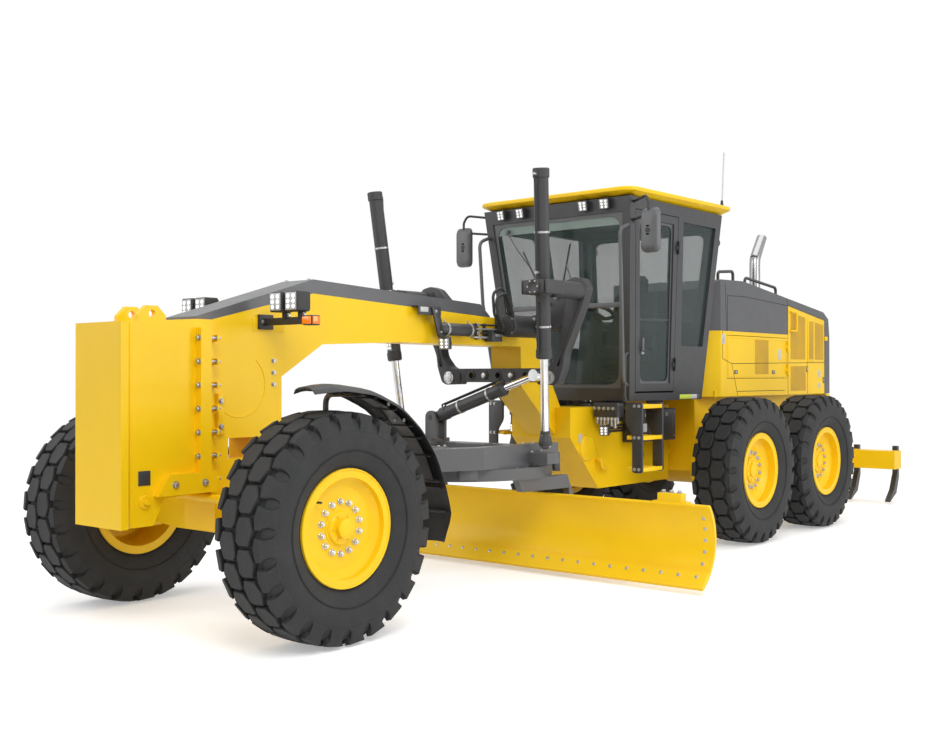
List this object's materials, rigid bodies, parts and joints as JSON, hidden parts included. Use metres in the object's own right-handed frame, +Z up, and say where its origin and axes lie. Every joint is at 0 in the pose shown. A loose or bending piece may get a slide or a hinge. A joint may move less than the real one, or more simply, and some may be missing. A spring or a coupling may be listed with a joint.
{
  "type": "motor grader",
  "caption": "Articulated motor grader with a glazed cab on the front frame, a long arched beam, a blade on a turning circle, tandem drive wheels, a front push block and a rear ripper.",
  "frame": {"origin": "on the ground, under the middle of the machine's length and width", "axes": "+X to the machine's left, +Y to the rear, +Z up; it faces -Y"},
  "size_m": [4.267, 10.634, 3.8554],
  "materials": {
    "bare_steel": "worn steel",
    "black_paint": "satin black paint",
    "black_plastic": "textured black plastic",
    "chrome_rod": "polished chrome",
    "cloth": "dark cloth",
    "glass": "tinted glass",
    "grey_paint": "satin charcoal paint",
    "iron": "cast iron",
    "tyre": "black rubber",
    "yellow_paint": "satin yellow paint"
  },
  "bodies": {
    "rear": {"rear_frame": "yellow_paint", "tandem_housings": "yellow_paint", "hood": "yellow_paint", "hood_top": "grey_paint", "engine": "iron", "exhaust": "chrome_rod", "hood_rails": "black_paint"},
    "front": {"front_frame": "yellow_paint", "frame_cover": "grey_paint", "push_block": "yellow_paint", "front_axle": "yellow_paint", "saddle": "grey_paint", "cab_frame": "grey_paint", "cab_glass": "glass", "cab_roof": "yellow_paint", "seat": "cloth", "console": "black_plastic", "ladders": "black_paint", "valve_boxes": "black_paint", "mirrors": "black_plastic", "lamps": "black_plastic"},
    "tie_rod": {"tie_rod": "bare_steel"},
    "drawbar_ball": {"drawbar_ball": "bare_steel"},
    "drawbar": {"drawbar": "grey_paint"},
    "circle": {"circle": "grey_paint"},
    "carrier": {"blade_carrier": "grey_paint"},
    "blade": {"moldboard": "yellow_paint", "cutting_edge": "bare_steel"},
    "shift_barrel": {"shift_barrel": "black_paint"},
    "shift_rod": {"shift_rod": "chrome_rod"},
    "ripper": {"ripper_frame": "yellow_paint", "ripper_shanks": "black_paint"},
    "ripper_barrel": {"ripper_barrels": "yellow_paint"},
    "ripper_rod": {"ripper_rods": "chrome_rod"},
    "knuckle_left": {"knuckle_left": "yellow_paint", "fender_left": "black_plastic"},
    "front_wheel_left": {"front_rim_left": "yellow_paint", "front_tyre_left": "tyre"},
    "mid_wheel_left": {"mid_rim_left": "yellow_paint", "mid_tyre_left": "tyre"},
    "rear_wheel_left": {"rear_rim_left": "yellow_paint", "rear_tyre_left": "tyre"},
    "door_left": {"cab_door_left": "grey_paint", "door_pane_left": "glass"},
    "service_door_left": {"service_door_left": "yellow_paint"},
    "lift_barrel_left": {"lift_barrel_left": "grey_paint"},
    "lift_rod_left": {"lift_rod_left": "chrome_rod"},
    "knuckle_right": {"knuckle_right": "yellow_paint", "fender_right": "black_plastic"},
    "front_wheel_right": {"front_rim_right": "yellow_paint", "front_tyre_right": "tyre"},
    "mid_wheel_right": {"mid_rim_right": "yellow_paint", "mid_tyre_right": "tyre"},
    "rear_wheel_right": {"rear_rim_right": "yellow_paint", "rear_tyre_right": "tyre"},
    "door_right": {"cab_door_right": "grey_paint", "door_pane_right": "glass"},
    "service_door_right": {"service_door_right": "yellow_paint"},
    "lift_barrel_right": {"lift_barrel_right": "grey_paint"},
    "lift_rod_right": {"lift_rod_right": "chrome_rod"}
  },
  "joints": [
    {"name": "articulation", "type": "hinge", "parent": "rear", "child": "front", "pos_m": [0, 0.977, 0.7], "axis": [0, 0, -1], "range_deg": [-22, 22]},
    {"name": "steer_left", "type": "hinge", "parent": "front", "child": "knuckle_left", "pos_m": [0.9, -4.423, 0.705], "axis": [0, 0, 1], "range_deg": [-30, 30]},
    {"name": "front_spin_left", "type": "hinge", "parent": "knuckle_left", "child": "front_wheel_left", "pos_m": [1.073, -4.423, 0.705], "axis": [1, 0, 0], "continuous": true},
    {"name": "mid_spin_left", "type": "hinge", "parent": "rear", "child": "mid_wheel_left", "pos_m": [1.1, 0.966, 0.705], "axis": [1, 0, 0], "continuous": true},
    {"name": "rear_spin_left", "type": "hinge", "parent": "rear", "child": "rear_wheel_left", "pos_m": [1.1, 2.508, 0.705], "axis": [1, 0, 0], "continuous": true},
    {"name": "steer_right", "type": "hinge", "parent": "front", "child": "knuckle_right", "pos_m": [-0.9, -4.423, 0.705], "axis": [0, 0, 1], "range_deg": [-30, 30]},
    {"name": "front_spin_right", "type": "hinge", "parent": "knuckle_right", "child": "front_wheel_right", "pos_m": [-1.073, -4.423, 0.705], "axis": [1, 0, 0], "continuous": true},
    {"name": "mid_spin_right", "type": "hinge", "parent": "rear", "child": "mid_wheel_right", "pos_m": [-1.1, 0.966, 0.705], "axis": [1, 0, 0], "continuous": true},
    {"name": "rear_spin_right", "type": "hinge", "parent": "rear", "child": "rear_wheel_right", "pos_m": [-1.1, 2.508, 0.705], "axis": [1, 0, 0], "continuous": true},
    {"name": "tie_rod_pivot", "type": "hinge", "parent": "knuckle_left", "child": "tie_rod", "pos_m": [0.9, -4.185, 0.705], "axis": [0, 0, 1], "range_deg": [-30.01, 30.01]},
    {"name": "drawbar_swing", "type": "hinge", "parent": "front", "child": "drawbar_ball", "pos_m": [0, -3.833, 1], "axis": [0, 0, 1], "range_deg": [-7, 7]},
    {"name": "drawbar_lift", "type": "hinge", "parent": "drawbar_ball", "child": "drawbar", "pos_m": [0, -3.833, 1], "axis": [1, 0, 0], "range_deg": [-7, 11]},
    {"name": "circle_turn", "type": "hinge", "parent": "drawbar", "child": "circle", "pos_m": [0, -1.963, 0.89], "axis": [0, 0, -1], "range_deg": [-40, 40]},
    {"name": "blade_pitch", "type": "hinge", "parent": "circle", "child": "carrier", "pos_m": [0, -1.413, 0.33], "axis": [1, 0, 0], "range_deg": [-5, 40]},
    {"name": "blade_shift", "type": "slide", "parent": "carrier", "child": "blade", "axis": [-1, 0, 0], "range_m": [-0.65, 0.65]},
    {"name": "lift_tilt_left", "type": "hinge", "parent": "front", "child": "lift_barrel_left", "pos_m": [0.857, -1.966, 2.31], "axis": [0, 1, 0], "range_deg": [-11.52, 11.52]},
    {"name": "lift_rod_slide_left", "type": "slide", "parent": "lift_barrel_left", "child": "lift_rod_left", "axis": [0.0621, -0.1073, 0.9923], "range_m": [-0.2455, 0.3846]},
    {"name": "lift_tilt_right", "type": "hinge", "parent": "front", "child": "lift_barrel_right", "pos_m": [-0.857, -1.966, 2.31], "axis": [0, 1, 0], "range_deg": [-11.52, 11.52]},
    {"name": "lift_rod_slide_right", "type": "slide", "parent": "lift_barrel_right", "child": "lift_rod_right", "axis": [-0.0621, -0.1073, 0.9923], "range_m": [-0.2455, 0.3846]},
    {"name": "shift_tilt", "type": "hinge", "parent": "drawbar", "child": "shift_barrel", "pos_m": [-0.56, -1.658, 1.25], "axis": [0, 1, 0], "range_deg": [-13.23, 20.74]},
    {"name": "shift_rod_slide", "type": "slide", "parent": "shift_barrel", "child": "shift_rod", "axis": [0.9478, 0.0086, 0.3188], "range_m": [-0.2539, 0.2539]},
    {"name": "cab_door_left", "type": "hinge", "parent": "front", "child": "door_left", "pos_m": [0.70343, 0.32, 1.472], "axis": [0.0848, -0.0798, 0.9932], "range_deg": [0, 80]},
    {"name": "service_door_left", "type": "hinge", "parent": "rear", "child": "service_door_left", "pos_m": [0.666, 2.88, 1.59], "axis": [0, 0, 1], "range_deg": [0, 80]},
    {"name": "cab_door_right", "type": "hinge", "parent": "front", "child": "door_right", "pos_m": [-0.70343, 0.32, 1.472], "axis": [0.0848, 0.0798, -0.9932], "range_deg": [0, 80]},
    {"name": "service_door_right", "type": "hinge", "parent": "rear", "child": "service_door_right", "pos_m": [-0.666, 2.88, 1.59], "axis": [0, 0, -1], "range_deg": [0, 80]},
    {"name": "ripper_lift", "type": "hinge", "parent": "rear", "child": "ripper", "pos_m": [0, 4.367, 0.76], "axis": [1, 0, 0], "range_deg": [-14, 26]},
    {"name": "ripper_barrel_tilt", "type": "hinge", "parent": "rear", "child": "ripper_barrel", "pos_m": [0, 4.337, 1.29], "axis": [1, 0, 0], "range_deg": [-9.32, 17.23]},
    {"name": "ripper_rod_slide", "type": "slide", "parent": "ripper_barrel", "child": "ripper_rod", "axis": [0, 0.8182, -0.5749], "range_m": [-0.2026, 0.11]}
  ],
  "couplings": [
    {"joint": "steer_right", "follows": "steer_left", "ratio": 1},
    {"joint": "tie_rod_pivot", "follows": "steer_left", "ratio": -1},
    {"joint": "lift_tilt_left", "follows": "drawbar_swing", "ratio": 1.6308},
    {"joint": "lift_rod_slide_left", "follows": "drawbar_lift", "m_per_rad": 1.9929},
    {"joint": "lift_tilt_right", "follows": "drawbar_swing", "ratio": 1.6308},
    {"joint": "lift_rod_slide_right", "follows": "drawbar_lift", "m_per_rad": 1.9929},
    {"joint": "shift_tilt", "follows": "drawbar_lift", "ratio": 1.876},
    {"joint": "shift_rod_slide", "follows": "drawbar_swing", "m_per_rad": 2.0616},
    {"joint": "ripper_barrel_tilt", "follows": "ripper_lift", "ratio": 0.65869},
    {"joint": "ripper_rod_slide", "follows": "ripper_lift", "m_per_rad": -0.44214}
  ]
}
